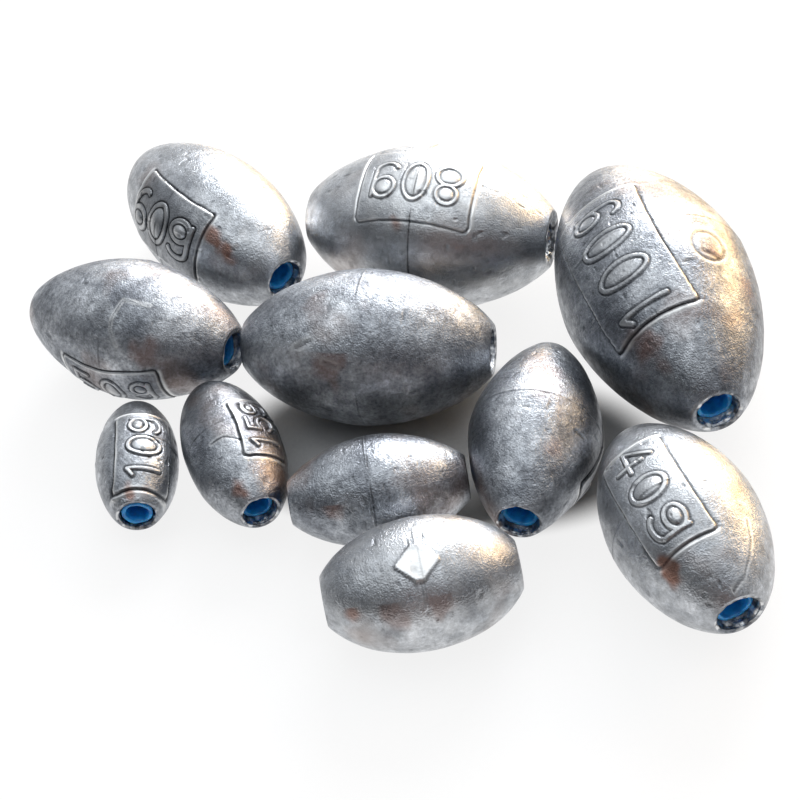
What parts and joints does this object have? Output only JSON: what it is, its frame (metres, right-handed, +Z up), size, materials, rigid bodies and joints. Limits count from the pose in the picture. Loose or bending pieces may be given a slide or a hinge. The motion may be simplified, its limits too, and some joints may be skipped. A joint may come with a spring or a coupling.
{
  "type": "fishing sinker set",
  "caption": "Graded set of egg-shaped cast lead fishing sinkers, each bored along its length and lined with a blue plastic tube, with its weight in raised figures.",
  "frame": {"origin": "centre of the whole set's footprint, at the height of the table it lies on", "axes": "+Z up, +Y away from the pictured side, +X to the right as pictured"},
  "size_m": [0.0882, 0.0912, 0.0236],
  "materials": {
    "lead": "as-cast lead, satin with a dull grey skin",
    "tube": "extruded blue plastic tube"
  },
  "bodies": {
    "sinker_60g_b": {"lead_60g_b": "lead", "liner_60g_b": "tube"},
    "sinker_10g": {"lead_10g": "lead", "liner_10g": "tube"},
    "sinker_15g": {"lead_15g": "lead", "liner_15g": "tube"},
    "sinker_20g": {"lead_20g": "lead", "liner_20g": "tube"},
    "sinker_25g": {"lead_25g": "lead", "liner_25g": "tube"},
    "sinker_30g": {"lead_30g": "lead", "liner_30g": "tube"},
    "sinker_40g": {"lead_40g": "lead", "liner_40g": "tube"},
    "sinker_50g": {"lead_50g": "lead", "liner_50g": "tube"},
    "sinker_60g_a": {"lead_60g_a": "lead", "liner_60g_a": "tube"},
    "sinker_80g": {"lead_80g": "lead", "liner_80g": "tube"},
    "sinker_100g": {"lead_100g": "lead", "liner_100g": "tube"}
  },
  "joints": [
    {"name": "lift_10g", "type": "slide", "parent": "sinker_60g_b", "child": "sinker_10g", "axis": [0, 0, 1], "range_m": [0, 0.05]},
    {"name": "lift_15g", "type": "slide", "parent": "sinker_60g_b", "child": "sinker_15g", "axis": [0, 0, 1], "range_m": [0, 0.05]},
    {"name": "lift_20g", "type": "slide", "parent": "sinker_60g_b", "child": "sinker_20g", "axis": [0, 0, 1], "range_m": [0, 0.05]},
    {"name": "lift_25g", "type": "slide", "parent": "sinker_60g_b", "child": "sinker_25g", "axis": [0, 0, 1], "range_m": [0, 0.05]},
    {"name": "lift_30g", "type": "slide", "parent": "sinker_60g_b", "child": "sinker_30g", "axis": [0, 0, 1], "range_m": [0, 0.05]},
    {"name": "lift_40g", "type": "slide", "parent": "sinker_60g_b", "child": "sinker_40g", "axis": [0, 0, 1], "range_m": [0, 0.05]},
    {"name": "lift_50g", "type": "slide", "parent": "sinker_60g_b", "child": "sinker_50g", "axis": [0, 0, 1], "range_m": [0, 0.05]},
    {"name": "lift_60g_a", "type": "slide", "parent": "sinker_60g_b", "child": "sinker_60g_a", "axis": [0, 0, 1], "range_m": [0, 0.05]},
    {"name": "lift_80g", "type": "slide", "parent": "sinker_60g_b", "child": "sinker_80g", "axis": [0, 0, 1], "range_m": [0, 0.05]},
    {"name": "lift_100g", "type": "slide", "parent": "sinker_60g_b", "child": "sinker_100g", "axis": [0, 0, 1], "range_m": [0, 0.05]}
  ]
}
